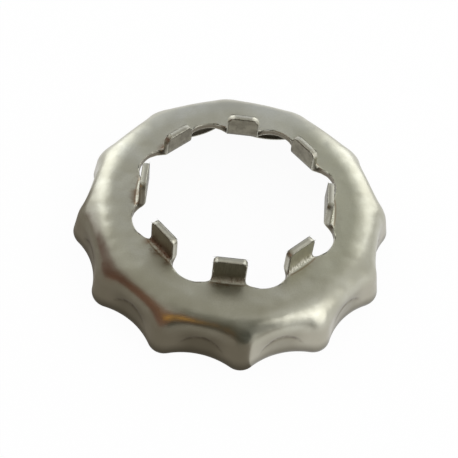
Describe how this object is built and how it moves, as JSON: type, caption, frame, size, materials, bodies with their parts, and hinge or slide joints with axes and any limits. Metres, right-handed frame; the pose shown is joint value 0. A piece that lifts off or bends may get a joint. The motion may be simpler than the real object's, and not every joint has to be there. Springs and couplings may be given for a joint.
{
  "type": "lock washer",
  "caption": "Cup-shaped lock washer pressed from sheet, with a fluted skirt and a ring of short tabs folded up around a wide scalloped hole.",
  "frame": {"origin": "centre of the plane the rim stands on, on the washer's axis", "axes": "+Z along the axis, from the rim towards the tabs; +X through the tip of one lobe of the skirt"},
  "size_m": [0.048, 0.048, 0.0129],
  "materials": {
    "steel": "satin, tumbled"
  },
  "bodies": {
    "root": {"lock_washer": "steel"}
  },
  "joints": []
}
